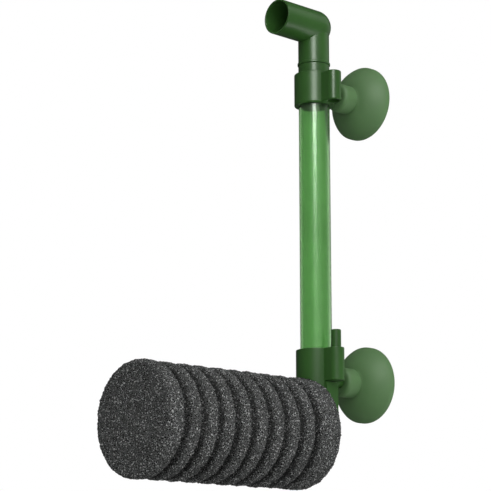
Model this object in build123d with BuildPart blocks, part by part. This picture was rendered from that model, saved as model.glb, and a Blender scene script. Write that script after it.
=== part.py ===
"""Air-driven aquarium filter: a ribbed foam cartridge on a strainer core, an elbow base with its
air inlet, a lift tube, an upper holder, a swivelling outlet elbow and two suction cups.

Frame: the origin is the centre of the lower suction cup's rim, on the glass. +Y points into the
glass, +Z up, and the air inlet is on the +X side. Millimetres."""

from build123d import *
from math import cos, radians, sin
import os

# Layout
glass_to_lift = 40.8  # glass to the lift tube's axis
foam_drop = 31.5  # lower cup's axis down to the foam's axis
collar_above_cup = 16.2  # lower cup's axis up to the base collar's top
lift_length = 174.0
spout_rise = 23.65  # top of the holder's sleeve up to the spout's axis
spout_reach = 29.6  # lift axis to the spout's mouth

# Lift tube and the sockets that take it
lift_radius = 8.88
lift_wall = 1.25
lift_chamfer = 0.25
socket_wall = 2.47
socket_height = 18.5
socket_depth = 16.0
socket_round = 0.4
shoulder = 2.0  # web of the holder over the tube's top end

# Outlet elbow and the sleeve it turns in
sleeve_height = 5.4
sleeve_radius = 8.98
sleeve_wall = 1.33
spigot_wall = 1.2
spigot_length = 5.0
leg_wall = 1.38
spout_radius = 10.14
spout_wall = 1.14
mouth_round = 0.35
bead_proud = 0.47
bead_height = 1.6

# Air inlet, its bosses and its channel
boss_reach = 15.62  # lift axis to the airline's axis
boss_radius = 4.5
boss_step = 1.0  # the guide boss stops this far under its ring's top
guide_round = 0.7
inlet_round = 0.5
hose_radius = 3.0
hose_clearance = 0.35
nipple_radius = 2.8
nipple_bore = 1.3
nipple_height = 10.0
nipple_round = 0.5
shank_radius = 2.3  # the nipple's root, pressed into the boss
shank_length = 8.0
inlet_floor = 1.2  # solid bottom of the inlet boss
rib_reach = 12.5  # lift axis to the outer face of the rib that holds the channel
rib_gap = 0.5  # boss to the rib's top
rib_edge = 0.8  # round along the rib's top edge
channel_radius = 1.0
channel_wall = 1.2
jet_radius = 1.95
jet_bore = 0.8
jet_height = 15.0
jet_head_radius = 3.4
jet_head_height = 3.0
jet_head_round = 1.0
jet_holes = 6
jet_hole_radius = 0.4

# Suction cups and their studs
cup_radius = 21.75
cup_rim = 1.5
cup_skirt = 3.0
cup_depth = 12.3  # glass to the neck's root
cup_crown = 2.0  # how far the dome bulges past its chord
cup_lean = 35.0  # direction of the bulge, in degrees off the cup's axis
cup_wall = 1.9
neck_radius = 8.3
neck_length = 10.4
neck_lip = 4.2
neck_round = 1.6
pocket_radius = 4.7
pocket_length = 4.4
stud_radius = 3.25
head_radius = 4.3
head_length = 3.2

# Strainer core
pipe_radius = 8.0
pipe_wall = 1.6
pipe_length = 16.0
core_wall = 1.95
core_slots = 6
slot_width = 2.4
slot_length = 9.0
slot_pitch = 13.0
slot_start = 5.25  # end of the base's pipe to the first row of slots
cap_thickness = 1.6
plug_length = 5.0
plug_wall = 1.4

# Foam cartridge
foam_radius = 30.0
foam_length = 120.5
first_rib = 9.5
back_rib = 12.0  # least length of the plain rib at the back
rib_width = 6.9
groove_width = 4.5
groove_depth = 4.5
foam_end_wall = 11.0
foam_seat_cut = 1.25  # how deep the foam's flat seat is cut into the base's ball
rib_round = 1.6

# Fits
running_fit = 0.05
stud_fit = 0.08
end_gap = 0.2  # between ends that meet face to face on different pieces
soft_gap = 0.3  # foam to hard plastic
bore_end_gap = 0.4  # core's cap to the end of the foam's bore

# Places worked out from the sizes above
lift_y = -glass_to_lift
foam_z = -foam_drop
bore_radius = lift_radius - lift_wall
socket_bore = lift_radius + running_fit
socket_radius = socket_bore + socket_wall
collar_top = collar_above_cup
collar_bottom = collar_top - socket_height
tube_bottom = collar_top - socket_depth + end_gap
tube_top = tube_bottom + lift_length
ring_top = tube_top + end_gap + shoulder
ring_bottom = ring_top - socket_height
upper_cup_z = (ring_top + ring_bottom) / 2
sleeve_top = ring_top + sleeve_height
spout_z = sleeve_top + spout_rise
seat_y = lift_y - socket_radius + foam_seat_cut
foam_back = seat_y - soft_gap
foam_front = foam_back - foam_length
core_radius = pipe_radius + running_fit + core_wall
foam_bore_length = foam_length - foam_end_wall
rib_pitch = rib_width + groove_width
groove_count = int((foam_length - first_rib - back_rib + rib_width) / rib_pitch)
core_length = foam_bore_length + soft_gap - end_gap - cap_thickness - bore_end_gap
slotted_length = core_length - pipe_length - slot_start - plug_length
core_rows = int((slotted_length - slot_length) / slot_pitch) + 1
core_back = seat_y - end_gap
core_front = core_back - core_length


def level(z, x=0.0):
    """Horizontal plane at height z, centred on the lift axis or x beside it."""
    return Plane(origin=(x, lift_y, z))


def facing_front(y, z=foam_z, x=0.0):
    """Upright plane that looks along -Y, away from the glass."""
    return Plane(origin=(x, y, z), x_dir=(1, 0, 0), z_dir=(0, -1, 0))


def lying(z):
    """Horizontal plane at height z through the glass line: its own y is the frame's Y."""
    return Plane(origin=(0, 0, z))


def along_y(z):
    """Axis along Y at height z."""
    return Axis((0, 0, z), (0, 1, 0))


def column(radius, bottom, top, x=0.0, mode=Mode.ADD):
    """Upright round column on the lift axis, or x beside it, from one height to another."""
    with BuildSketch(level(bottom, x)) as section:
        Circle(radius)
    extrude(section.sketch, amount=top - bottom, mode=mode)


def rims(block, radius):
    """The block's circular edges of one radius."""
    circles = block.edges().filter_by(GeomType.CIRCLE)
    return circles.filter_by(lambda edge: abs(edge.radius - radius) < 0.01)


def side_boss(bottom, top, rounding):
    """Boss beside the lift axis and the web of its own width that ties it to its ring."""
    with BuildPart() as boss:
        with BuildSketch(level(bottom)):
            with Locations((boss_reach, 0)):
                Circle(boss_radius)
            with Locations((boss_reach / 2, 0)):
                Rectangle(boss_reach, 2 * boss_radius)
        extrude(amount=top - bottom)
        levels = boss.edges().group_by(Axis.Z)
        fillet(levels[0] + levels[-1], radius=rounding)
    return boss.part


def stud(z):
    """Stud with a mushroom head that a suction cup snaps onto, rooted in the socket's wall."""
    root = lift_y + socket_bore + socket_wall / 2
    lip_end = -cup_depth - neck_length + neck_lip + end_gap
    head_end = lip_end + head_length
    with BuildSketch(lying(z)) as outline:
        with BuildLine():
            Polyline(
                (0, root),
                (stud_radius, root),
                (stud_radius, lip_end),
                (head_radius, lip_end),
                (head_radius, lip_end + head_length / 3),
                (stud_radius / 2, head_end),
                (0, head_end),
                close=True,
            )
        make_face()
    revolve(outline.sketch, axis=along_y(z))


def suction_cup(z):
    """Soft cup: a bored neck, a convex dome, a thin skirt and a flat rim on the glass."""
    root = -cup_depth
    front = root - neck_length
    lean = radians(cup_lean)
    dome_top = (cup_radius + neck_radius) / 2 + cup_crown * sin(lean)
    dome_mid = (root - cup_skirt) / 2 - cup_crown * cos(lean)
    inner_radius = cup_radius - cup_rim
    hollow = root + cup_wall
    with BuildPart() as cup:
        with BuildSketch(lying(z)):
            with BuildLine():
                Polyline((0, 0), (cup_radius, 0), (cup_radius, -cup_skirt))
                ThreePointArc((cup_radius, -cup_skirt), (dome_top, dome_mid), (neck_radius, root))
                Polyline((neck_radius, root), (neck_radius, front), (0, front), (0, 0))
            make_face()
            with BuildLine():
                Polyline((0, 0), (inner_radius, 0), (inner_radius, -cup_skirt / 2))
                ThreePointArc(
                    (inner_radius, -cup_skirt / 2),
                    (dome_top - cup_wall * sin(lean), dome_mid + cup_wall * cos(lean)),
                    (neck_radius - cup_wall, hollow),
                )
                Polyline((neck_radius - cup_wall, hollow), (0, hollow), (0, 0))
            make_face(mode=Mode.SUBTRACT)
        revolve(axis=along_y(z))
        with BuildSketch(facing_front(front, z)):
            Circle(stud_radius + stud_fit)
        extrude(amount=-neck_lip, mode=Mode.SUBTRACT)
        with BuildSketch(facing_front(front + neck_lip, z)):
            Circle(pocket_radius)
        extrude(amount=-pocket_length, mode=Mode.SUBTRACT)
        neck_end = cup.faces().filter_by(Axis.Y).sort_by(Axis.Y)[0]
        fillet(neck_end.outer_wire().edges(), radius=neck_round)
    return cup


os.makedirs("parts", exist_ok=True)

# Lift tube: a plain clear pipe
with BuildPart() as lift_tube:
    with BuildSketch(level(tube_bottom)):
        Circle(lift_radius)
        Circle(bore_radius, mode=Mode.SUBTRACT)
    extrude(amount=lift_length)
    chamfer(lift_tube.edges().filter_by(GeomType.CIRCLE), length=lift_chamfer)
lift_tube.part.label = "lift_tube"
export_step(lift_tube.part, "parts/lift_tube.step")

# Upper holder: tube socket, outlet sleeve, hose guide and cup stud in one moulding
guide_top = ring_top - boss_step
guide_boss = side_boss(ring_bottom, guide_top, guide_round)
with BuildPart() as upper_holder:
    column(socket_radius, ring_bottom, ring_top)
    fillet(rims(upper_holder, socket_radius), radius=socket_round)
    column(sleeve_radius, ring_top - shoulder, sleeve_top)
    add(guide_boss)
    stud(upper_cup_z)
    column(socket_bore, ring_bottom, ring_top - shoulder, mode=Mode.SUBTRACT)
    column(sleeve_radius - sleeve_wall, ring_top - shoulder, sleeve_top, mode=Mode.SUBTRACT)
    column(hose_radius + hose_clearance, ring_bottom, guide_top, x=boss_reach, mode=Mode.SUBTRACT)
upper_holder.part.label = "upper_holder"
export_step(upper_holder.part, "parts/upper_holder.step")

# Outlet elbow: spout with a ball-shaped heel, leg with a beaded foot, spigot in the sleeve
leg_foot = sleeve_top + end_gap
spigot_radius = sleeve_radius - sleeve_wall - running_fit
with BuildPart() as outlet_elbow:
    with BuildSketch(lying(spout_z)):
        with BuildLine():
            heel_arc = CenterArc((0, lift_y), spout_radius, 0, 90)
            Polyline(
                heel_arc @ 1,
                (0, lift_y - spout_reach),
                (spout_radius, lift_y - spout_reach),
                heel_arc @ 0,
            )
        make_face()
    revolve(axis=along_y(spout_z))
    column(sleeve_radius, leg_foot, spout_z)
    column(sleeve_radius + bead_proud, leg_foot, leg_foot + bead_height)
    fillet(rims(outlet_elbow, sleeve_radius + bead_proud), radius=bead_proud * 0.9)
    column(spigot_radius, leg_foot - spigot_length, leg_foot)
    with BuildSketch(lying(spout_z)):
        with BuildLine():
            hollow_arc = CenterArc((0, lift_y), spout_radius - spout_wall, 0, 90)
            Polyline(
                hollow_arc @ 1,
                (0, lift_y - spout_reach),
                (spout_radius - spout_wall, lift_y - spout_reach),
                hollow_arc @ 0,
            )
        make_face()
    revolve(axis=along_y(spout_z), mode=Mode.SUBTRACT)
    leg_floor = leg_foot + bead_height
    column(sleeve_radius - leg_wall, leg_floor, spout_z, mode=Mode.SUBTRACT)
    column(spigot_radius - spigot_wall, leg_foot - spigot_length, leg_floor, mode=Mode.SUBTRACT)
    mouth = outlet_elbow.faces().filter_by(Axis.Y).sort_by(Axis.Y)[0]
    fillet(mouth.edges(), radius=mouth_round)
outlet_elbow.part.label = "outlet_elbow"
export_step(outlet_elbow.part, "parts/outlet_elbow.step")

# Base elbow: tube collar, ball-shaped bottom, foam seat, core pipe, air boss and channel, cup stud
channel_x = rib_reach - channel_wall - channel_radius
channel_z = foam_z - bore_radius - channel_wall - channel_radius
channel_bottom = channel_z - channel_radius - channel_wall
rib_top = collar_bottom - rib_gap
port_z = collar_bottom + inlet_floor + channel_radius
jet_bottom = channel_z + channel_radius + channel_wall / 2
inlet_boss = side_boss(collar_bottom, collar_top, inlet_round)
with BuildPart() as base_elbow:
    with BuildSketch(Plane(origin=(0, lift_y, 0), x_dir=(1, 0, 0), z_dir=(0, -1, 0))):
        with BuildLine():
            ball_arc = CenterArc((0, foam_z), socket_radius, -90, 90)
            Polyline(ball_arc @ 0, (0, collar_top), (socket_radius, collar_top), ball_arc @ 1)
        make_face()
    revolve(axis=Axis((0, lift_y, 0), (0, 0, 1)))
    fillet(base_elbow.edges().filter_by(GeomType.CIRCLE).sort_by(Axis.Z)[-1], radius=socket_round)
    with BuildSketch(Plane(origin=(0, lift_y, 0), x_dir=(1, 0, 0), z_dir=(0, -1, 0))):
        with BuildLine():
            Polyline(
                (0, rib_top),
                (rib_reach, rib_top),
                (rib_reach, channel_bottom),
                (-boss_radius, channel_bottom),
                (-boss_radius, foam_z),
                (0, foam_z),
                close=True,
            )
        rib_face = make_face()
        fillet(rib_face.vertices().group_by(Axis.Y)[0], radius=boss_radius)
        fillet(rib_face.vertices().group_by(Axis.Y)[-1].sort_by(Axis.X)[-1], radius=rib_edge)
    extrude(amount=boss_radius, both=True)
    add(inlet_boss)
    with BuildSketch(facing_front(seat_y, foam_z)):
        Rectangle(4 * socket_radius, 2 * (foam_radius + soft_gap + end_gap))
    extrude(amount=socket_radius, mode=Mode.SUBTRACT)
    with BuildSketch(facing_front(lift_y)):
        Circle(pipe_radius)
    extrude(amount=lift_y - seat_y + pipe_length)
    stud(0)
    column(socket_bore, tube_bottom - end_gap, collar_top, mode=Mode.SUBTRACT)
    column(bore_radius, foam_z, tube_bottom, mode=Mode.SUBTRACT)
    with Locations((0, lift_y, foam_z)):
        Sphere(bore_radius, mode=Mode.SUBTRACT)
    with BuildSketch(facing_front(lift_y)):
        Circle(pipe_radius - pipe_wall)
    extrude(amount=lift_y - seat_y + pipe_length, mode=Mode.SUBTRACT)
    column(shank_radius, collar_top - shank_length, collar_top, x=boss_reach, mode=Mode.SUBTRACT)
    column(nipple_bore, port_z - channel_radius, collar_top, x=boss_reach, mode=Mode.SUBTRACT)
    column(channel_radius, channel_z, port_z, x=channel_x, mode=Mode.SUBTRACT)
    with BuildSketch(Plane(origin=(channel_x, lift_y, port_z), z_dir=(1, 0, 0))):
        Circle(channel_radius)
    extrude(amount=boss_reach - channel_x, mode=Mode.SUBTRACT)
    channel_start = Plane(origin=(-jet_radius, lift_y, channel_z), x_dir=(0, 1, 0), z_dir=(1, 0, 0))
    with BuildSketch(channel_start):
        Circle(channel_radius)
    extrude(amount=channel_x + channel_radius + jet_radius, mode=Mode.SUBTRACT)
    column(jet_bore, channel_z, foam_z, mode=Mode.SUBTRACT)
    column(jet_radius, jet_bottom, foam_z, mode=Mode.SUBTRACT)
base_elbow.part.label = "base_elbow"
export_step(base_elbow.part, "parts/base_elbow.step")

# Air nipple: plain stub that stands on the inlet boss, with a narrower shank pressed into it
nipple_foot = collar_top - shank_length
nipple_top = collar_top + nipple_height
with BuildPart() as air_nipple:
    column(nipple_radius, collar_top, nipple_top, x=boss_reach)
    fillet(rims(air_nipple, nipple_radius).sort_by(Axis.Z)[-1], radius=nipple_round)
    column(shank_radius, nipple_foot, collar_top, x=boss_reach)
    column(nipple_bore, nipple_foot, nipple_top, x=boss_reach, mode=Mode.SUBTRACT)
air_nipple.part.label = "air_nipple"
export_step(air_nipple.part, "parts/air_nipple.step")

# Air jet: small upright nozzle in the base's floor that breaks the air into bubbles
jet_top = jet_bottom + jet_height
with BuildPart() as air_jet:
    column(jet_radius, jet_bottom, jet_top)
    column(jet_head_radius, jet_top - jet_head_height, jet_top)
    fillet(rims(air_jet, jet_head_radius).sort_by(Axis.Z)[-1], radius=jet_head_round)
    column(jet_bore, jet_bottom, jet_top - jet_head_height / 3, mode=Mode.SUBTRACT)
    for hole in range(jet_holes):
        turn = radians(360 / jet_holes * hole)
        hole_dir = (cos(turn), sin(turn), 0)
        with BuildSketch(Plane(origin=(0, lift_y, jet_top - jet_head_height / 2), z_dir=hole_dir)):
            Circle(jet_hole_radius)
        extrude(amount=jet_head_radius, mode=Mode.SUBTRACT)
air_jet.part.label = "air_jet"
export_step(air_jet.part, "parts/air_jet.step")

# Suction cups
for cup_name, cup_z in (("lower_suction_cup", 0.0), ("upper_suction_cup", upper_cup_z)):
    cup = suction_cup(cup_z)
    cup.part.label = cup_name
    export_step(cup.part, f"parts/{cup_name}.step")

# Strainer core: slotted pipe over the base's pipe, open at both ends
with BuildPart() as strainer_core:
    with BuildSketch(facing_front(core_back)):
        Circle(core_radius)
        Circle(core_radius - core_wall, mode=Mode.SUBTRACT)
    extrude(amount=core_length)
    for row in range(core_rows):
        row_y = core_back - pipe_length - slot_start - slot_length / 2 - slot_pitch * row
        for place in range(core_slots):
            turn = radians(360 / core_slots * place)
            slot_dir = (cos(turn), 0, sin(turn))
            with BuildSketch(Plane(origin=(0, row_y, foam_z), x_dir=(0, 1, 0), z_dir=slot_dir)):
                SlotOverall(slot_length, slot_width)
            extrude(amount=core_radius + core_wall, mode=Mode.SUBTRACT)
strainer_core.part.label = "strainer_core"
export_step(strainer_core.part, "parts/strainer_core.step")

# Core end cap: disc with a hollow plug that closes the core's front end
plug_radius = core_radius - core_wall
with BuildPart() as core_end_cap:
    with BuildSketch(facing_front(core_front)):
        Circle(core_radius)
    extrude(amount=cap_thickness)
    with BuildSketch(facing_front(core_front)):
        Circle(plug_radius)
        Circle(plug_radius - plug_wall, mode=Mode.SUBTRACT)
    extrude(amount=-plug_length)
core_end_cap.part.label = "core_end_cap"
export_step(core_end_cap.part, "parts/core_end_cap.step")

# Foam cartridge: ribbed cylinder with a blind bore from its back
with BuildPart() as foam_cartridge:
    with BuildSketch(facing_front(foam_back)):
        Circle(foam_radius)
    extrude(amount=foam_length)
    for groove in range(groove_count):
        groove_front = foam_front + first_rib + groove * rib_pitch
        with BuildSketch(facing_front(groove_front + groove_width)):
            Circle(foam_radius + groove_depth)
            Circle(foam_radius - groove_depth, mode=Mode.SUBTRACT)
        extrude(amount=groove_width, mode=Mode.SUBTRACT)
    fillet(rims(foam_cartridge, foam_radius), radius=rib_round)
    with BuildSketch(facing_front(foam_back)):
        Circle(core_radius + soft_gap)
    extrude(amount=foam_bore_length, mode=Mode.SUBTRACT)
foam_cartridge.part.label = "foam_cartridge"
export_step(foam_cartridge.part, "parts/foam_cartridge.step")
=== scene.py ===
"""Looks of an air-driven aquarium filter: ribbed foam, green mouldings, a clear lift tube and soft cups.

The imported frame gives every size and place. The foam, the lift tube and the suction cups are modelled here
and stand for their plain CAD nodes; the mouldings keep their CAD meshes and get their finish. Metres
throughout.
"""

import logging
import math
from dataclasses import dataclass
from enum import Enum
from typing import Sequence, Union

import bpy
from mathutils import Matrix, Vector


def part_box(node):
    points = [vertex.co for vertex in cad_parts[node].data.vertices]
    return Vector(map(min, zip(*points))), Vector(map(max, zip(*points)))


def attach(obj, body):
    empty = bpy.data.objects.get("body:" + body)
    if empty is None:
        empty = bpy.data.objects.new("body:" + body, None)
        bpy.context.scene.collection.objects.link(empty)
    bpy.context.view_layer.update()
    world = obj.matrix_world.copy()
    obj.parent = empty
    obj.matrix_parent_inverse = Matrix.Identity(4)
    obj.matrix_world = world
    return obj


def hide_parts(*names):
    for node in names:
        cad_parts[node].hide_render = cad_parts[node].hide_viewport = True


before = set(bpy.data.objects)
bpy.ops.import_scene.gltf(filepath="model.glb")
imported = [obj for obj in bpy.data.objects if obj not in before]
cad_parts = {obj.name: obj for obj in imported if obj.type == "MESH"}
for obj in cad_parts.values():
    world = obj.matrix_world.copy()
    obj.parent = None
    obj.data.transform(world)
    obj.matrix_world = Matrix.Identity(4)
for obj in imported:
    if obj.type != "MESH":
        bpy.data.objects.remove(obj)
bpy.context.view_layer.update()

MM = 0.001
MERGE = 0.002 * MM
log = logging.getLogger("filter")

Point = tuple[float, float, float]
Colour = tuple[float, float, float]
Band = tuple[float, float]
Outline = list[tuple[float, float]]
Socket = bpy.types.NodeSocket
Source = Union[bpy.types.NodeSocket, float, Sequence[float]]

UNIT: Band = (0.0, 1.0)
WHITE = (1.0, 1.0, 1.0, 1.0)

# Places of a Mix node's sockets, which share their names between the data types.
MIX_FACTOR = 0
MIX_VECTOR_A, MIX_VECTOR_B, MIX_VECTOR_OUT = 4, 5, 1
MIX_COLOUR_A, MIX_COLOUR_B, MIX_COLOUR_OUT = 6, 7, 2


class Slot(Enum):
    """Material slots of the record for the new pieces; the script does not put the pieces into them."""

    CLEAR = "clear_tube"
    RUBBER = "cup_rubber"
    FOAM = "foam"


# ---------------------------------------------------------------- shader groups


class NodeSheet:
    """A node tree with short calls to add and join its nodes."""

    def __init__(self, tree: bpy.types.NodeTree) -> None:
        """Keeps the tree that nodes go into."""
        self.tree = tree

    def add(self, kind: str, **values: object) -> bpy.types.Node:
        """Adds a node and sets its own properties.

        Args:
            kind: Blender's type name of the node.
            values: properties of the node, by name.

        Returns:
            The new node.
        """
        node = self.tree.nodes.new(kind)
        for name, value in values.items():
            setattr(node, name, value)
        return node

    def join(self, out: Socket, into: Socket) -> None:
        """Joins an output to an input."""
        self.tree.links.new(out, into)

    def feed(self, source: Source, into: Socket) -> None:
        """Gives an input its value.

        Args:
            source: another node's output, or a plain value.
            into: the input.
        """
        if isinstance(source, bpy.types.NodeSocket):
            self.join(source, into)
        else:
            into.default_value = source

    def noise(self, place: Socket, scale: float, detail: float) -> bpy.types.Node:
        """Adds a noise texture.

        Args:
            place: where the noise is read.
            scale: periods per metre.
            detail: octaves over the first.

        Returns:
            The texture's node.
        """
        node = self.add("ShaderNodeTexNoise")
        node.inputs["Scale"].default_value = scale
        node.inputs["Detail"].default_value = detail
        self.join(place, node.inputs["Vector"])
        return node

    def remap(self, value: Socket, band: Band = UNIT, low: Source = 0.0, high: Source = 1.0) -> Socket:
        """Spreads a band of a value over another range, clamped at both ends.

        Args:
            value: the value.
            band: the two values that become low and high.
            low: result at the band's start.
            high: result at the band's end.

        Returns:
            The result's socket.
        """
        node = self.add("ShaderNodeMapRange")
        node.inputs["From Min"].default_value, node.inputs["From Max"].default_value = band
        self.feed(low, node.inputs["To Min"])
        self.feed(high, node.inputs["To Max"])
        self.join(value, node.inputs["Value"])
        return node.outputs["Result"]

    def blend(self, factor: Socket, first: Union[Socket, Colour], second: Union[Socket, Colour]) -> Socket:
        """Mixes two colours.

        Args:
            factor: 0 for the first colour, 1 for the second.
            first: a colour, plain or from a socket.
            second: a colour, plain or from a socket.

        Returns:
            The mixed colour's socket.
        """
        node = self.add("ShaderNodeMix", data_type="RGBA")
        self.join(factor, node.inputs[MIX_FACTOR])
        for source, index in ((first, MIX_COLOUR_A), (second, MIX_COLOUR_B)):
            plain = source if isinstance(source, bpy.types.NodeSocket) else (*source, 1.0)
            self.feed(plain, node.inputs[index])
        return node.outputs[MIX_COLOUR_OUT]

    def stretched(self, place: Socket, factors: Source) -> Socket:
        """Multiplies a place, axis by axis.

        Args:
            place: the place.
            factors: one factor for each axis.

        Returns:
            The new place's socket.
        """
        node = self.add("ShaderNodeVectorMath", operation="MULTIPLY")
        self.join(place, node.inputs[0])
        self.feed(factors, node.inputs[1])
        return node.outputs["Vector"]

    def calculate(self, operation: str, *sources: Source) -> Socket:
        """Adds a plain calculation.

        Args:
            operation: Blender's name of it.
            sources: what it works on, in order.

        Returns:
            The result's socket.
        """
        node = self.add("ShaderNodeMath", operation=operation)
        for source, into in zip(sources, node.inputs):
            self.feed(source, into)
        return node.outputs["Value"]


def new_group(name: str, inputs: dict[str, float], outputs: Sequence[str]) -> NodeSheet:
    """Starts a shader group with float inputs and float outputs.

    Args:
        name: the group's name.
        inputs: each input's name and default.
        outputs: the outputs' names.

    Returns:
        The group's sheet, with its input and output nodes named "in" and "out".
    """
    tree = bpy.data.node_groups.new(name, "ShaderNodeTree")
    for label, value in inputs.items():
        socket = tree.interface.new_socket(label, in_out="INPUT", socket_type="NodeSocketFloat")
        socket.default_value = value
    for label in outputs:
        tree.interface.new_socket(label, in_out="OUTPUT", socket_type="NodeSocketFloat")
    sheet = NodeSheet(tree)
    sheet.add("NodeGroupInput", name="in")
    sheet.add("NodeGroupOutput", name="out")
    return sheet


@dataclass(frozen=True)
class MouldedGrain:
    """Skin of an injection moulding: fine orange peel, slow clouds of tone and of gloss.

    Scales are in periods per metre, and a band is the part of the noise that is spread over 0 to 1.
    """

    peel_scale: float = 900.0
    peel_detail: float = 2.0
    cloud_scale: float = 45.0
    cloud_detail: float = 4.0
    cloud_band: Band = (0.3, 0.7)
    gloss_scale: float = 160.0
    gloss_detail: float = 5.0
    gloss_band: Band = (0.35, 0.7)

    def group(self) -> bpy.types.NodeTree:
        """Builds the shader group.

        Returns:
            The group, with inputs Peel Scale and Cloud Scale and outputs Height, Tone and Gloss.
        """
        inputs = {"Peel Scale": self.peel_scale, "Cloud Scale": self.cloud_scale}
        sheet = new_group("moulded_grain", inputs, ("Height", "Tone", "Gloss"))
        source, sink = sheet.tree.nodes["in"], sheet.tree.nodes["out"]
        place = sheet.add("ShaderNodeTexCoord").outputs["Object"]
        peel = sheet.noise(place, self.peel_scale, self.peel_detail)
        cloud = sheet.noise(place, self.cloud_scale, self.cloud_detail)
        gloss = sheet.noise(place, self.gloss_scale, self.gloss_detail)
        sheet.join(source.outputs["Peel Scale"], peel.inputs["Scale"])
        sheet.join(source.outputs["Cloud Scale"], cloud.inputs["Scale"])
        sheet.join(peel.outputs["Fac"], sink.inputs["Height"])
        sheet.join(sheet.remap(cloud.outputs["Fac"], self.cloud_band), sink.inputs["Tone"])
        sheet.join(sheet.remap(gloss.outputs["Fac"], self.gloss_band), sink.inputs["Gloss"])
        return sheet.tree


@dataclass(frozen=True)
class HandlingMarks:
    """Faint upright streaks, in patches, that handling rubs into plastic."""

    streak_scale: float = 260.0
    stretch: float = 9.0
    streak_band: Band = (0.62, 0.72)
    patch_scale: float = 70.0
    patch_band: Band = (0.5, 0.65)
    detail: float = 2.0

    def group(self) -> bpy.types.NodeTree:
        """Builds the shader group.

        Returns:
            The group, with inputs Streak Scale and Stretch and the output Mask, 1 in a streak.
        """
        inputs = {"Streak Scale": self.streak_scale, "Stretch": self.stretch}
        sheet = new_group("handling_marks", inputs, ("Mask",))
        source, sink = sheet.tree.nodes["in"], sheet.tree.nodes["out"]
        place = sheet.add("ShaderNodeTexCoord").outputs["Object"]
        squeeze = sheet.add("ShaderNodeCombineXYZ")
        squeeze.inputs["Z"].default_value = 1.0
        for axis in ("X", "Y"):
            sheet.join(source.outputs["Stretch"], squeeze.inputs[axis])
        drawn = sheet.stretched(place, squeeze.outputs["Vector"])
        streak = sheet.noise(drawn, self.streak_scale, self.detail)
        sheet.join(source.outputs["Streak Scale"], streak.inputs["Scale"])
        patch = sheet.noise(place, self.patch_scale, self.detail)
        rubbed = sheet.remap(streak.outputs["Fac"], self.streak_band)
        where = sheet.remap(patch.outputs["Fac"], self.patch_band)
        sheet.join(sheet.calculate("MULTIPLY", rubbed, where), sink.inputs["Mask"])
        return sheet.tree


# ---------------------------------------------------------------- finishes


@dataclass(frozen=True)
class Finish:
    """What every finish has: the name of its material."""

    name: str

    def blank(self) -> tuple[bpy.types.Material, NodeSheet, bpy.types.Node]:
        """Starts a material.

        Returns:
            The material, its sheet and its Principled shader.
        """
        material = bpy.data.materials.new(self.name)
        material.use_nodes = True
        sheet = NodeSheet(material.node_tree)
        return material, sheet, material.node_tree.nodes["Principled BSDF"]

    def bump(self, sheet: NodeSheet, height: Socket, shader: bpy.types.Node, depth: float) -> None:
        """Feeds a height into the shader's normal.

        Args:
            sheet: the material's sheet.
            height: the height, from 0 to 1.
            shader: the Principled shader.
            depth: how deep a height of 1 is.
        """
        bump = sheet.add("ShaderNodeBump")
        bump.inputs["Strength"].default_value = 1.0
        bump.inputs["Distance"].default_value = depth
        sheet.join(height, bump.inputs["Height"])
        sheet.join(bump.outputs["Normal"], shader.inputs["Normal"])


@dataclass(frozen=True)
class SkinScales:
    """How fine the shared grain and marks are on one plastic, in periods per metre; stretch is a ratio."""

    peel: float
    cloud: float
    streak: float
    stretch: float


@dataclass(frozen=True)
class Plastic(Finish):
    """What the plastics share: two close tones in slow clouds, over the shared grain and handling marks."""

    colour: Colour
    deep_colour: Colour
    scales: SkinScales

    def place_groups(
        self, sheet: NodeSheet, grain: bpy.types.NodeTree, marks: bpy.types.NodeTree
    ) -> tuple[bpy.types.Node, Socket]:
        """Puts the shared groups into the material with this plastic's own scales.

        Args:
            sheet: the material's sheet.
            grain: the moulded grain's group.
            marks: the handling marks' group.

        Returns:
            The grain's node and the marks' mask.
        """
        skin = sheet.add("ShaderNodeGroup", node_tree=grain)
        skin.inputs["Peel Scale"].default_value = self.scales.peel
        skin.inputs["Cloud Scale"].default_value = self.scales.cloud
        rub = sheet.add("ShaderNodeGroup", node_tree=marks)
        rub.inputs["Streak Scale"].default_value = self.scales.streak
        rub.inputs["Stretch"].default_value = self.scales.stretch
        return skin, rub.outputs["Mask"]


@dataclass(frozen=True)
class GlossyMoulding(Plastic):
    """Hard green plastic with orange peel, soft clouds of tone and faint rubbed streaks."""

    colour: Colour = (0.031, 0.1, 0.019)
    deep_colour: Colour = (0.025, 0.082, 0.015)
    scales: SkinScales = SkinScales(peel=1100.0, cloud=60.0, streak=220.0, stretch=7.0)
    roughness: float = 0.295
    cloudy_roughness: float = 0.06
    rubbed_roughness: float = 0.44
    bend: float = 1.49
    peel_depth: float = 0.012 * MM

    def material(self, grain: bpy.types.NodeTree, marks: bpy.types.NodeTree) -> bpy.types.Material:
        """Builds the material.

        Args:
            grain: the moulded grain's group.
            marks: the handling marks' group.

        Returns:
            The material.
        """
        material, sheet, shader = self.blank()
        skin, rub = self.place_groups(sheet, grain, marks)
        tone = sheet.blend(skin.outputs["Tone"], self.deep_colour, self.colour)
        sheet.join(tone, shader.inputs["Base Color"])
        dullest = self.roughness + self.cloudy_roughness
        even = sheet.remap(skin.outputs["Gloss"], UNIT, self.roughness, dullest)
        sheet.join(sheet.remap(rub, UNIT, even, self.rubbed_roughness), shader.inputs["Roughness"])
        shader.inputs["IOR"].default_value = self.bend
        self.bump(sheet, skin.outputs["Height"], shader, self.peel_depth)
        return material


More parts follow.
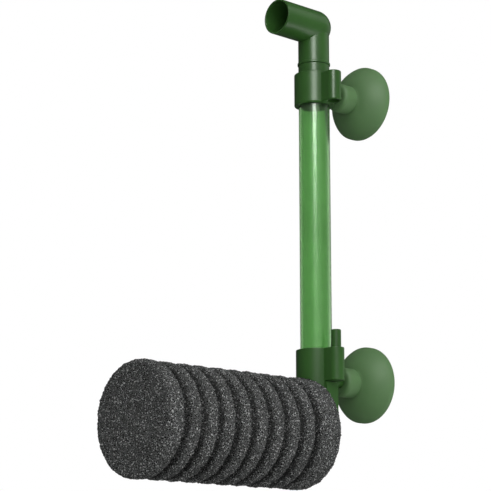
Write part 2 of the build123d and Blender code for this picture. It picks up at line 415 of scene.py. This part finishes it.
@dataclass(frozen=True)
class ClearPipe(Plastic):
    """Green-tinted clear plastic pipe with a soft skin gloss and faint lines along its length."""

    colour: Colour = (0.28, 0.525, 0.235)
    deep_colour: Colour = (0.252, 0.4725, 0.2115)
    scales: SkinScales = SkinScales(peel=500.0, cloud=30.0, streak=300.0, stretch=12.0)
    roughness: float = 0.15
    rubbed_roughness: float = 0.25
    clearness: float = 0.96
    bend: float = 1.25
    skin_gloss: float = 1.0
    skin_roughness: float = 0.26
    skin_bend: float = 1.6
    line_scale: float = 420.0
    line_detail: float = 2.0
    line_draw: Point = (1.0, 1.0, 0.02)
    line_depth: float = 0.0015 * MM

    def material(self, grain: bpy.types.NodeTree, marks: bpy.types.NodeTree) -> bpy.types.Material:
        """Builds the material.

        Args:
            grain: the moulded grain's group.
            marks: the handling marks' group.

        Returns:
            The material.
        """
        material, sheet, shader = self.blank()
        skin, rub = self.place_groups(sheet, grain, marks)
        tone = sheet.blend(skin.outputs["Tone"], self.deep_colour, self.colour)
        sheet.join(tone, shader.inputs["Base Color"])
        sheet.join(sheet.remap(rub, UNIT, self.roughness, self.rubbed_roughness), shader.inputs["Roughness"])
        shader.inputs["Transmission Weight"].default_value = self.clearness
        shader.inputs["Coat Weight"].default_value = self.skin_gloss
        shader.inputs["Coat Roughness"].default_value = self.skin_roughness
        shader.inputs["Coat IOR"].default_value = self.skin_bend
        shader.inputs["IOR"].default_value = self.bend
        drawn = sheet.stretched(sheet.add("ShaderNodeTexCoord").outputs["Object"], self.line_draw)
        lines = sheet.noise(drawn, self.line_scale, self.line_detail)
        self.bump(sheet, lines.outputs["Fac"], shader, self.line_depth)
        return material


@dataclass(frozen=True)
class SoftVinyl(Plastic):
    """Soft green cup rubber: satin, with a little light passing into it."""

    colour: Colour = (0.094, 0.192, 0.073)
    deep_colour: Colour = (0.085, 0.176, 0.066)
    scales: SkinScales = SkinScales(peel=700.0, cloud=90.0, streak=180.0, stretch=4.0)
    roughness: float = 0.6
    rubbed_roughness: float = 0.74
    shine: float = 0.4
    glow: float = 0.1
    glow_reach: Point = (0.4, 1.0, 0.4)
    glow_depth: float = 1.5 * MM
    peel_depth: float = 0.02 * MM

    def material(self, grain: bpy.types.NodeTree, marks: bpy.types.NodeTree) -> bpy.types.Material:
        """Builds the material.

        Args:
            grain: the moulded grain's group.
            marks: the handling marks' group.

        Returns:
            The material.
        """
        material, sheet, shader = self.blank()
        skin, rub = self.place_groups(sheet, grain, marks)
        tone = sheet.blend(skin.outputs["Tone"], self.deep_colour, self.colour)
        sheet.join(tone, shader.inputs["Base Color"])
        sheet.join(sheet.remap(rub, UNIT, self.roughness, self.rubbed_roughness), shader.inputs["Roughness"])
        shader.inputs["Subsurface Weight"].default_value = self.glow
        shader.inputs["Subsurface Radius"].default_value = self.glow_reach
        shader.inputs["Subsurface Scale"].default_value = self.glow_depth
        shader.inputs["Specular IOR Level"].default_value = self.shine
        self.bump(sheet, skin.outputs["Height"], shader, self.peel_depth)
        return material


@dataclass(frozen=True)
class OpenFoam(Finish):
    """Coarse open-cell foam: paler strands round pores painted near-black as shade, painted glints on some
    strands, and painted shade darkening the grooves.
    """

    # The pores' near-black colour is painted shade in the open cells; the strands keep the foam's own grey.
    pore_shade_colour: Colour = (0.005, 0.0055, 0.0052)
    strand_colour: Colour = (0.103, 0.107, 0.105)
    # Painted glint: the bright colour some strands get in place of a highlight.
    painted_glint_colour: Colour = (0.6, 0.61, 0.6)
    roughness: float = 0.8
    shine: float = 0.2
    # Painted shade in the grooves: groove_shade is the colour's factor down in a groove, fading in from
    # shade_depth under the crest to crest under it.
    groove_shade: float = 0.42
    crest: float = 0.3 * MM
    shade_depth: float = 2.4 * MM
    cell: float = 0.95 * MM
    depth: float = 0.45 * MM
    strand_band: Band = (0.04, 0.26)
    wander: float = 0.6
    wander_fineness: float = 0.5
    wander_detail: float = 2.0
    glint_fineness: float = 1.1
    glint_detail: float = 1.0
    glint_band: Band = (0.57, 0.68)

    def crest_mask(self, sheet: NodeSheet, foot: Vector, radius: float, length: float) -> Socket:
        """Mask of 1 on the ribs' crests and on both end faces and 0 down in the grooves, where the colour
        gets painted shade.

        Args:
            sheet: the material's sheet.
            foot: centre of the cartridge's back face.
            radius: the cartridge's radius.
            length: the cartridge's length, towards -Y.

        Returns:
            The mask's socket.
        """
        centred = sheet.add("ShaderNodeMapping")
        centred.inputs["Location"].default_value = -foot
        sheet.join(sheet.add("ShaderNodeTexCoord").outputs["Object"], centred.inputs["Vector"])
        across = sheet.stretched(centred.outputs["Vector"], (1.0, 0.0, 1.0))
        out = sheet.add("ShaderNodeVectorMath", operation="LENGTH")
        sheet.join(across, out.inputs[0])
        crest = sheet.remap(out.outputs["Value"], (radius - self.shade_depth, radius - self.crest))
        along = sheet.add("ShaderNodeSeparateXYZ")
        sheet.join(centred.outputs["Vector"], along.inputs["Vector"])
        half = length / 2
        reach = sheet.calculate("ABSOLUTE", sheet.calculate("ADD", along.outputs["Y"], half))
        ends = sheet.remap(reach, (half - 3 * self.crest, half - self.crest))
        return sheet.calculate("MAXIMUM", crest, ends)

    def weave(self, sheet: NodeSheet) -> tuple[Socket, Socket]:
        """Wandering cells, their pores painted near-black as shade, with strands between them.

        Args:
            sheet: the material's sheet.

        Returns:
            The colour, and a mask of 1 on the strands.
        """
        place = sheet.add("ShaderNodeTexCoord").outputs["Object"]
        drift = sheet.noise(place, self.wander_fineness / self.cell, self.wander_detail)
        shifted = sheet.add("ShaderNodeMix", data_type="VECTOR")
        shifted.inputs[MIX_FACTOR].default_value = self.cell * self.wander
        sheet.join(place, shifted.inputs[MIX_VECTOR_A])
        sheet.join(drift.outputs["Color"], shifted.inputs[MIX_VECTOR_B])
        cells = sheet.add("ShaderNodeTexVoronoi", feature="DISTANCE_TO_EDGE")
        cells.inputs["Scale"].default_value = 1.0 / self.cell
        sheet.join(shifted.outputs[MIX_VECTOR_OUT], cells.inputs["Vector"])
        strand = sheet.remap(cells.outputs["Distance"], self.strand_band, 1.0, 0.0)
        # Painted highlight: bright glints painted into the colour of some strands.
        sparkle = sheet.noise(place, self.glint_fineness / self.cell, self.glint_detail)
        glint = sheet.remap(sparkle.outputs["Fac"], self.glint_band)
        lit = sheet.blend(glint, self.strand_colour, self.painted_glint_colour)
        return sheet.blend(strand, self.pore_shade_colour, lit), strand

    def material(self, foot: Vector, radius: float, length: float) -> bpy.types.Material:
        """Builds the material for one cartridge.

        Args:
            foot: centre of the cartridge's back face.
            radius: the cartridge's radius.
            length: the cartridge's length, towards -Y.

        Returns:
            The material.
        """
        material, sheet, shader = self.blank()
        colour, strand = self.weave(sheet)
        # Painted shade: the colour is darkened down in the grooves, but not on the crests or the end faces.
        shade = sheet.remap(self.crest_mask(sheet, foot, radius, length), UNIT, self.groove_shade, 1.0)
        darker = sheet.add("ShaderNodeVectorMath", operation="SCALE")
        sheet.join(colour, darker.inputs[0])
        sheet.join(shade, darker.inputs["Scale"])
        sheet.join(darker.outputs["Vector"], shader.inputs["Base Color"])
        shader.inputs["Roughness"].default_value = self.roughness
        shader.inputs["Specular IOR Level"].default_value = self.shine
        self.bump(sheet, strand, shader, self.depth)
        return material


# ---------------------------------------------------------------- modelling helpers


def select_only(*objects: bpy.types.Object) -> None:
    """Makes these the only selected objects, the first of them active.

    Args:
        objects: what is selected; nothing, to deselect all.
    """
    if bpy.context.object and bpy.context.object.mode != "OBJECT":
        bpy.ops.object.mode_set(mode="OBJECT")
    bpy.ops.object.select_all(action="DESELECT")
    for item in objects:
        item.select_set(True)
    if objects:
        bpy.context.view_layer.objects.active = objects[0]


def settle(piece: bpy.types.Object) -> None:
    """Moves a piece's place into its mesh, so that its object stands at the origin."""
    select_only(piece)
    bpy.ops.object.transform_apply(location=True, rotation=True, scale=True)


def apply_all(piece: bpy.types.Object) -> None:
    """Applies every modifier of a piece, in order.

    Args:
        piece: the piece.
    """
    select_only(piece)
    for modifier in list(piece.modifiers):
        bpy.ops.object.modifier_apply(modifier=modifier.name)


def arc(centre: tuple[float, float], radius: float, start: float, end: float, spans: int) -> Outline:
    """Points of an arc in (radius, height) space.

    Args:
        centre: the arc's centre.
        radius: the arc's radius.
        start: first angle in degrees.
        end: last angle in degrees.
        spans: number of straight spans.

    Returns:
        The points, both ends among them.
    """
    angles = (math.radians(start + (end - start) * step / spans) for step in range(spans + 1))
    return [(centre[0] + radius * math.cos(a), centre[1] + radius * math.sin(a)) for a in angles]


def through(
    first: tuple[float, float], middle_point: tuple[float, float], last: tuple[float, float], spans: int
) -> Outline:
    """Points of the arc through three points in (radius, height) space.

    Args:
        first: where it starts.
        middle_point: a point on the way.
        last: where it ends.
        spans: number of straight spans.

    Returns:
        The points, both ends among them.
    """
    (ax, ay), (bx, by), (cx, cy) = first, middle_point, last
    d = 2 * (ax * (by - cy) + bx * (cy - ay) + cx * (ay - by))
    a2, b2, c2 = ax * ax + ay * ay, bx * bx + by * by, cx * cx + cy * cy
    ux = (a2 * (by - cy) + b2 * (cy - ay) + c2 * (ay - by)) / d
    uy = (a2 * (cx - bx) + b2 * (ax - cx) + c2 * (bx - ax)) / d
    start = math.degrees(math.atan2(ay - uy, ax - ux))
    end = math.degrees(math.atan2(cy - uy, cx - ux))
    turn = (end - start + 180) % 360 - 180
    return arc((ux, uy), math.hypot(ax - ux, ay - uy), start, start + turn, spans)


def lathe(name: str, outline: Outline, foot: Point, axis: str, steps: int) -> bpy.types.Object:
    """Turns an outline round an axis, as on a lathe.

    Args:
        name: the new piece's name.
        outline: points as (radius, height along the axis), open or closed.
        foot: the point of the axis where height is 0.
        axis: "Y" or "Z".
        steps: spans round the piece.

    Returns:
        The turned piece, a closed surface where the outline starts and ends on the axis or on itself.
    """
    base = Vector(foot)
    run = Vector((0, 1, 0)) if axis == "Y" else Vector((0, 0, 1))
    out = Vector((1, 0, 0))
    places = [base + out * radius + run * height for radius, height in outline]
    select_only()
    bpy.ops.mesh.primitive_plane_add(size=MM, location=places[0])
    piece = bpy.context.object
    piece.name = name
    settle(piece)
    bpy.ops.object.mode_set(mode="EDIT")
    bpy.ops.mesh.select_all(action="SELECT")
    bpy.ops.mesh.merge(type="CENTER")
    for here, there in zip(places, places[1:]):
        bpy.ops.mesh.extrude_region_move(TRANSFORM_OT_translate={"value": there - here})
    bpy.ops.mesh.select_all(action="SELECT")
    bpy.ops.mesh.spin(steps=steps, angle=math.tau, center=base, axis=run)
    bpy.ops.mesh.select_all(action="SELECT")
    bpy.ops.mesh.remove_doubles(threshold=MERGE)
    bpy.ops.mesh.normals_make_consistent(inside=False)
    bpy.ops.object.mode_set(mode="OBJECT")
    return piece


def smooth(piece: bpy.types.Object, angle: float = 35.0) -> None:
    """Shades a piece smooth except over edges sharper than the angle, in degrees."""
    select_only(piece)
    bpy.ops.object.shade_smooth_by_angle(angle=math.radians(angle))


def hand_over(piece: bpy.types.Object, node: str, body: str) -> None:
    """Puts a finished piece in the part.

    Args:
        piece: the piece.
        node: the CAD node it stands for.
        body: the body it rides on.
    """
    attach(piece, body)
    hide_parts(node)
    log.info("%s stands for %s: %d faces", piece.name, node, len(piece.data.polygons))


def middle(node: str) -> Vector:
    """Centre of a CAD node's box."""
    low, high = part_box(node)
    return (low + high) / 2


def half_width(node: str) -> float:
    """Radius of a round CAD node that lies along Y or Z."""
    low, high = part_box(node)
    return (high.x - low.x) / 2


# ---------------------------------------------------------------- sub-assemblies


@dataclass
class FoamCartridge:
    """Ribbed cylinder of coarse foam, drawn over the strainer core from its blind bore's open end."""

    node: str = "foam_cartridge"
    core_node: str = "strainer_core"
    ribs: int = 10
    first_rib: float = 9.5 * MM
    rib: float = 6.9 * MM
    groove: float = 4.5 * MM
    groove_depth: float = 4.6 * MM
    groove_round: float = 1.5 * MM
    crest_round: float = 2.3 * MM
    bore_gap: float = 0.3 * MM
    end_wall: float = 11.0 * MM
    crest_spans: int = 3
    groove_spans: int = 2
    steps: int = 180
    voxel: float = 0.72 * MM
    cell: float = 1.15 * MM
    roughness: float = 1.05 * MM
    cell_level: float = 0.25
    wave: float = 10.35 * MM
    waviness: float = 0.735 * MM
    wave_level: float = 0.5
    back_weight: float = 0.2

    def outline(self) -> Outline:
        """Half section, from the bore's blind end round to the front face's centre.

        Returns:
            Points as (radius, distance from the back face).
        """
        low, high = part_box(self.node)
        length = high.y - low.y
        radius = half_width(self.node)
        bore = half_width(self.core_node) + self.bore_gap
        crest = radius - self.crest_round
        floor = radius - self.groove_depth + self.groove_round
        points = [(0.0, -length + self.end_wall), (bore, -length + self.end_wall), (bore, 0.0)]
        points += arc((crest, -self.crest_round), self.crest_round, 90, 0, self.crest_spans)
        for index in reversed(range(self.ribs - 1)):
            front = -length + self.first_rib + index * (self.rib + self.groove)
            back = front + self.groove
            points += arc((crest, back + self.crest_round), self.crest_round, 0, -90, self.crest_spans)
            points += arc((floor, back - self.groove_round), self.groove_round, 90, 180, self.groove_spans)
            points += arc((floor, front + self.groove_round), self.groove_round, 180, 270, self.groove_spans)
            points += arc((crest, front - self.crest_round), self.crest_round, 90, 0, self.crest_spans)
        points += arc((crest, -length + self.crest_round), self.crest_round, 0, -90, self.crest_spans)
        return points + [(0.0, -length)]

    def outer_skin(self, piece: bpy.types.Object, foot: Vector) -> str:
        """Weighs the points that may be roughened: all of the skin, little of the back, none of the bore.

        Args:
            piece: the remeshed cartridge.
            foot: centre of its back face.

        Returns:
            The vertex group's name.
        """
        bore = half_width(self.core_node) + 2 * self.cell
        group = piece.vertex_groups.new(name="outer_skin")
        length = piece.dimensions.y
        for point in piece.data.vertices:
            out = math.hypot(point.co.x - foot.x, point.co.z - foot.z)
            at_front = foot.y - point.co.y > length - self.end_wall / 2
            if out > bore or at_front:
                at_back = foot.y - point.co.y < self.cell
                group.add([point.index], self.back_weight if at_back else 1.0, "REPLACE")
        return group.name

    def roughen(self, piece: bpy.types.Object, foot: Vector) -> None:
        """Gives the skin its torn cells: an even mesh, pits of one cell, then slow unevenness.

        Args:
            piece: the turned cartridge.
            foot: centre of its back face.
        """
        remesh = piece.modifiers.new("even", "REMESH")
        remesh.mode = "VOXEL"
        remesh.voxel_size = self.voxel
        apply_all(piece)
        skin = self.outer_skin(piece, foot)
        for label, kind, size, strength, level in (
            ("cells", "VORONOI", self.cell, self.roughness, self.cell_level),
            ("unevenness", "CLOUDS", self.wave, self.waviness, self.wave_level),
        ):
            texture = bpy.data.textures.new(f"foam_{label}", kind)
            texture.noise_scale = size
            pits = piece.modifiers.new(label, "DISPLACE")
            pits.texture = texture
            pits.texture_coords = "LOCAL"
            pits.strength = strength
            pits.mid_level = level
            pits.vertex_group = skin
        apply_all(piece)

    def build(self, finish: OpenFoam) -> None:
        """Models and dresses the cartridge.

        Args:
            finish: its foam.
        """
        low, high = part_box(self.node)
        foot = Vector((middle(self.node).x, high.y, middle(self.node).z))
        piece = lathe("foam_body", self.outline(), foot, "Y", self.steps)
        self.roughen(piece, foot)
        smooth(piece, 180.0)
        piece.data.materials.append(finish.material(foot, half_width(self.node), high.y - low.y))
        hand_over(piece, self.node, "foam")


@dataclass
class LiftTube:
    """Clear pipe between the base's collar and the upper holder."""

    node: str = "lift_tube"
    wall: float = 1.25 * MM
    edge: float = 0.25 * MM
    steps: int = 160

    def outline(self, outer: float, length: float) -> Outline:
        """Section of the wall, its four edges broken.

        Args:
            outer: the pipe's radius.
            length: the pipe's length.

        Returns:
            Points as (radius, height), closed.
        """
        inner = outer - self.wall
        return [
            (inner, self.edge),
            (inner + self.edge, 0.0),
            (outer - self.edge, 0.0),
            (outer, self.edge),
            (outer, length - self.edge),
            (outer - self.edge, length),
            (inner + self.edge, length),
            (inner, length - self.edge),
            (inner, self.edge),
        ]

    def build(self, material: bpy.types.Material) -> None:
        """Models and dresses the pipe.

        Args:
            material: its plastic.
        """
        low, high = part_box(self.node)
        foot = (middle(self.node).x, middle(self.node).y, low.z)
        outline = self.outline(half_width(self.node), high.z - low.z)
        piece = lathe("lift_pipe", outline, foot, "Z", self.steps)
        smooth(piece)
        piece.data.materials.append(material)
        hand_over(piece, self.node, "lift")


@dataclass
class SuctionCup:
    """Soft cup on a stud: bored neck, convex dome, thin skirt and a flat rim on the glass."""

    node: str
    body: str
    neck: float = 8.3 * MM
    neck_round: float = 2.0 * MM
    crease: float = 0.75 * MM
    root: float = 12.3 * MM
    skirt: float = 3.0 * MM
    crown: float = 2.0 * MM
    lean: float = 35.0
    rim: float = 1.5 * MM
    rim_chamfer: float = 0.25 * MM
    rim_inset: float = 0.3 * MM
    rim_round: float = 0.5 * MM
    wall: float = 1.9 * MM
    bore: float = 3.33 * MM
    bore_round: float = 0.4 * MM
    lip: float = 4.2 * MM
    pocket: float = 4.7 * MM
    pocket_length: float = 4.4 * MM
    hollow_spans: int = 14
    dome_spans: int = 18
    neck_spans: int = 6
    edge_spans: int = 2
    steps: int = 144

    def inside(self, radius: float, mid: tuple[float, float]) -> Outline:
        """Section of the hollow side and of the rim on the glass.

        Args:
            radius: the cup's radius.
            mid: the point half way down the dome's outside.

        Returns:
            Points as (radius, distance from the glass), from the axis to the rim's outer edge.
        """
        lean = math.radians(self.lean)
        inner_mid = (mid[0] - self.wall * math.sin(lean), mid[1] + self.wall * math.cos(lean))
        edge = radius - self.rim
        hollow = -self.root + self.wall
        points = [(0.0, hollow)]
        start, end = (self.neck - self.wall, hollow), (edge, -self.skirt / 2)
        points += through(start, inner_mid, end, self.hollow_spans)
        points += [(edge, -self.rim_chamfer), (edge + self.rim_chamfer, 0.0)]
        points += [(radius - self.rim_inset, 0.0)]
        corner = (radius - self.rim_round, -self.rim_round)
        return points + arc(corner, self.rim_round, 45, 0, self.edge_spans)

    def neck_side(self, depth: float) -> Outline:
        """Section of the neck with its crease, its rounded end and the stud's pocket.

        Args:
            depth: the cup's depth.

        Returns:
            Points as (radius, distance from the glass), from the dome's foot to the axis.
        """
        valley = self.neck - self.crease
        pocket_end = -depth + self.lip + self.pocket_length
        points = [(valley, -self.root - self.crease / 2), (valley, -self.root - self.crease)]
        points += [(self.neck, -self.root - 2 * self.crease)]
        end = (self.neck - self.neck_round, -depth + self.neck_round)
        points += arc(end, self.neck_round, 0, -90, self.neck_spans)
        mouth = (self.bore + self.bore_round, -depth + self.bore_round)
        points += arc(mouth, self.bore_round, 270, 180, self.edge_spans)
        points += [(self.bore, -depth + self.lip), (self.pocket, -depth + self.lip)]
        return points + [(self.pocket, pocket_end), (0.0, pocket_end)]

    def outline(self, radius: float, depth: float) -> Outline:
        """Half section of the whole cup.

        Args:
            radius: the cup's radius.
            depth: the cup's depth.

        Returns:
            Points as (radius, distance from the glass), from the axis round to the axis.
        """
        lean = math.radians(self.lean)
        mid = ((radius + self.neck) / 2 + self.crown * math.sin(lean), -(self.root + self.skirt) / 2)
        mid = (mid[0], mid[1] - self.crown * math.cos(lean))
        dome = through((radius, -self.skirt), mid, (self.neck, -self.root), self.dome_spans)
        return self.inside(radius, mid) + dome + self.neck_side(depth)

    def build(self, material: bpy.types.Material) -> None:
        """Models and dresses the cup.

        Args:
            material: its rubber.
        """
        low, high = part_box(self.node)
        foot = (middle(self.node).x, high.y, middle(self.node).z)
        outline = self.outline(half_width(self.node), high.y - low.y)
        piece = lathe(f"{self.body}_soft", outline, foot, "Y", self.steps)
        smooth(piece)
        piece.data.materials.append(material)
        hand_over(piece, self.node, self.body)


@dataclass
class Mouldings:
    """Hard pieces whose CAD meshes are already the finished shape."""

    hard: tuple[str, ...] = ("outlet_elbow", "upper_holder", "base_elbow", "air_nipple")
    inner: tuple[str, ...] = ("strainer_core", "core_end_cap", "air_jet")

    def dress(self, hard: bpy.types.Material, inner: bpy.types.Material) -> None:
        """Gives each CAD node its material.

        Args:
            hard: the outer mouldings' plastic.
            inner: the hidden mouldings' plastic.
        """
        for names, material in ((self.hard, hard), (self.inner, inner)):
            for name in names:
                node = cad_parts[name]
                node.data.materials.clear()
                node.data.materials.append(material)
                log.info("%s: %d faces", name, len(node.data.polygons))


# ---------------------------------------------------------------- studio


class Reach(Enum):
    """What a lamp shows in: everything, only the gloss, or all but the gloss."""

    ALL = "all"
    GLOSS = "gloss"
    MATT = "matt"


@dataclass(frozen=True)
class Lamp:
    """A soft rectangular lamp that faces the aim; bearing in degrees, sizes in metres."""

    name: str
    azimuth: float
    elevation: float
    distance: float
    width: float
    height: float
    watts: float
    reach: Reach = Reach.ALL


@dataclass
class Studio:
    """Pale floor, white surround, soft lamps and the camera."""

    aim: Point = (-25.6 * MM, -71.0 * MM, 75.9 * MM)
    azimuth: float = 47.453
    elevation: float = -12.031
    distance: float = 982.6 * MM
    lens: float = 127.41
    sensor: float = 36.0
    clip_start: float = 0.01
    floor_size: float = 60.0
    floor_z: float = -1100 * MM
    floor_tone: float = 0.86
    floor_roughness: float = 0.9
    floor_lift: float = 0.65
    surround: float = 1.0
    fill: float = 0.3
    sheen: float = 0.06
    lamps: tuple[Lamp, ...] = (
        Lamp("key_softbox", 49.0, 32.0, 0.9, width=0.38, height=0.42, watts=5.9, reach=Reach.GLOSS),
        Lamp("key_scrim", 64.0, 28.0, 1.1, width=1.3, height=1.3, watts=12.0, reach=Reach.MATT),
        Lamp("side_scrim", 100.0, -10.0, 1.0, width=1.2, height=1.2, watts=2.2, reach=Reach.MATT),
        Lamp("front_scrim", 52.0, -14.0, 0.9, width=0.5, height=0.5, watts=1.0, reach=Reach.MATT),
        Lamp("low_panel", 143.0, -36.0, 0.9, width=0.4, height=0.45, watts=1.1),
        Lamp("high_panel", 151.0, 39.0, 0.9, width=0.5, height=0.4, watts=0.4),
        Lamp("back_panel", 165.0, 6.0, 1.0, width=0.9, height=0.8, watts=0.8),
    )

    def from_aim(self, azimuth: float, elevation: float, distance: float) -> Vector:
        """Point at a bearing from the aim.

        Args:
            azimuth: degrees; 0 is in front, towards -Y, and 90 is at +X.
            elevation: degrees over the level.
            distance: metres from the aim.

        Returns:
            The point.
        """
        a, e = math.radians(azimuth), math.radians(elevation)
        ray = Vector((math.sin(a) * math.cos(e), -math.cos(a) * math.cos(e), math.sin(e)))
        return Vector(self.aim) + ray * distance

    def face_aim(self, item: bpy.types.Object) -> None:
        """Turns a camera or lamp to face the aim."""
        ray = Vector(self.aim) - item.location
        item.rotation_euler = ray.to_track_quat("-Z", "Y").to_euler()

    def camera(self) -> None:
        """Adds the camera and makes it the scene's."""
        select_only()
        bpy.ops.object.camera_add(location=self.from_aim(self.azimuth, self.elevation, self.distance))
        camera = bpy.context.object
        camera.name = "studio_camera"
        self.face_aim(camera)
        camera.data.lens = self.lens
        camera.data.sensor_width = self.sensor
        camera.data.clip_start = self.clip_start
        bpy.context.scene.camera = camera

    def light(self, lamp: Lamp) -> None:
        """Adds one lamp.

        Args:
            lamp: what and where it is.
        """
        select_only()
        place = self.from_aim(lamp.azimuth, lamp.elevation, lamp.distance)
        bpy.ops.object.light_add(type="AREA", location=place)
        item = bpy.context.object
        item.name = lamp.name
        item.data.shape = "RECTANGLE"
        item.data.size, item.data.size_y = lamp.width, lamp.height
        item.data.energy = lamp.watts
        item.visible_diffuse = lamp.reach is not Reach.GLOSS
        item.visible_glossy = lamp.reach is not Reach.MATT
        self.face_aim(item)

    def seen(self, sheet: NodeSheet) -> tuple[Socket, bpy.types.Node]:
        """Mask of what is looked at directly or through clear plastic.

        Args:
            sheet: the world's or the floor's sheet.

        Returns:
            The mask and the Light Path node.
        """
        path = sheet.add("ShaderNodeLightPath")
        mask = sheet.calculate("MAXIMUM", path.outputs["Is Camera Ray"], path.outputs["Is Transmission Ray"])
        return mask, path

    def world(self) -> None:
        """White to the eye and behind clear plastic, softer as a light."""
        world = bpy.data.worlds.new("surround")
        world.use_nodes = True
        bpy.context.scene.world = world
        sheet = NodeSheet(world.node_tree)
        background = world.node_tree.nodes["Background"]
        background.inputs["Color"].default_value = WHITE
        mask, path = self.seen(sheet)
        lit = sheet.remap(path.outputs["Is Diffuse Ray"], UNIT, self.sheen, self.fill)
        sheet.join(sheet.remap(mask, UNIT, lit, self.surround), background.inputs["Strength"])

    def floor(self) -> None:
        """Adds the pale floor, well below the hanging part."""
        select_only()
        bpy.ops.mesh.primitive_plane_add(size=self.floor_size, location=(0.0, 0.0, self.floor_z))
        floor = bpy.context.object
        floor.name = "studio_floor"
        paint = bpy.data.materials.new("pale_floor")
        paint.use_nodes = True
        sheet = NodeSheet(paint.node_tree)
        shader = paint.node_tree.nodes["Principled BSDF"]
        shader.inputs["Base Color"].default_value = (self.floor_tone, self.floor_tone, self.floor_tone, 1.0)
        shader.inputs["Roughness"].default_value = self.floor_roughness
        shader.inputs["Emission Color"].default_value = WHITE
        mask, _ = self.seen(sheet)
        sheet.join(sheet.remap(mask, UNIT, 0.0, self.floor_lift), shader.inputs["Emission Strength"])
        floor.data.materials.append(paint)
        floor.visible_glossy = False

    def build(self) -> None:
        """Sets up the whole studio."""
        self.camera()
        self.world()
        self.floor()
        for lamp in self.lamps:
            self.light(lamp)
        bpy.context.scene.view_settings.view_transform = "Standard"


def main() -> None:
    """Builds every piece in order, then the studio."""
    logging.basicConfig(level=logging.INFO, format="%(name)s: %(message)s")
    grain, marks = MouldedGrain().group(), HandlingMarks().group()
    hard = GlossyMoulding("green_moulding").material(grain, marks)
    inner = GlossyMoulding("inner_moulding", roughness=0.45).material(grain, marks)
    clear = ClearPipe("clear_green_pipe").material(grain, marks)
    vinyl = SoftVinyl("soft_green_vinyl").material(grain, marks)
    Mouldings().dress(hard, inner)
    LiftTube().build(clear)
    for node, body in (("lower_suction_cup", "lower_cup"), ("upper_suction_cup", "upper_cup")):
        SuctionCup(node, body).build(vinyl)
    FoamCartridge().build(OpenFoam("charcoal_foam"))
    Studio().build()


if __name__ == "__main__":
    main()
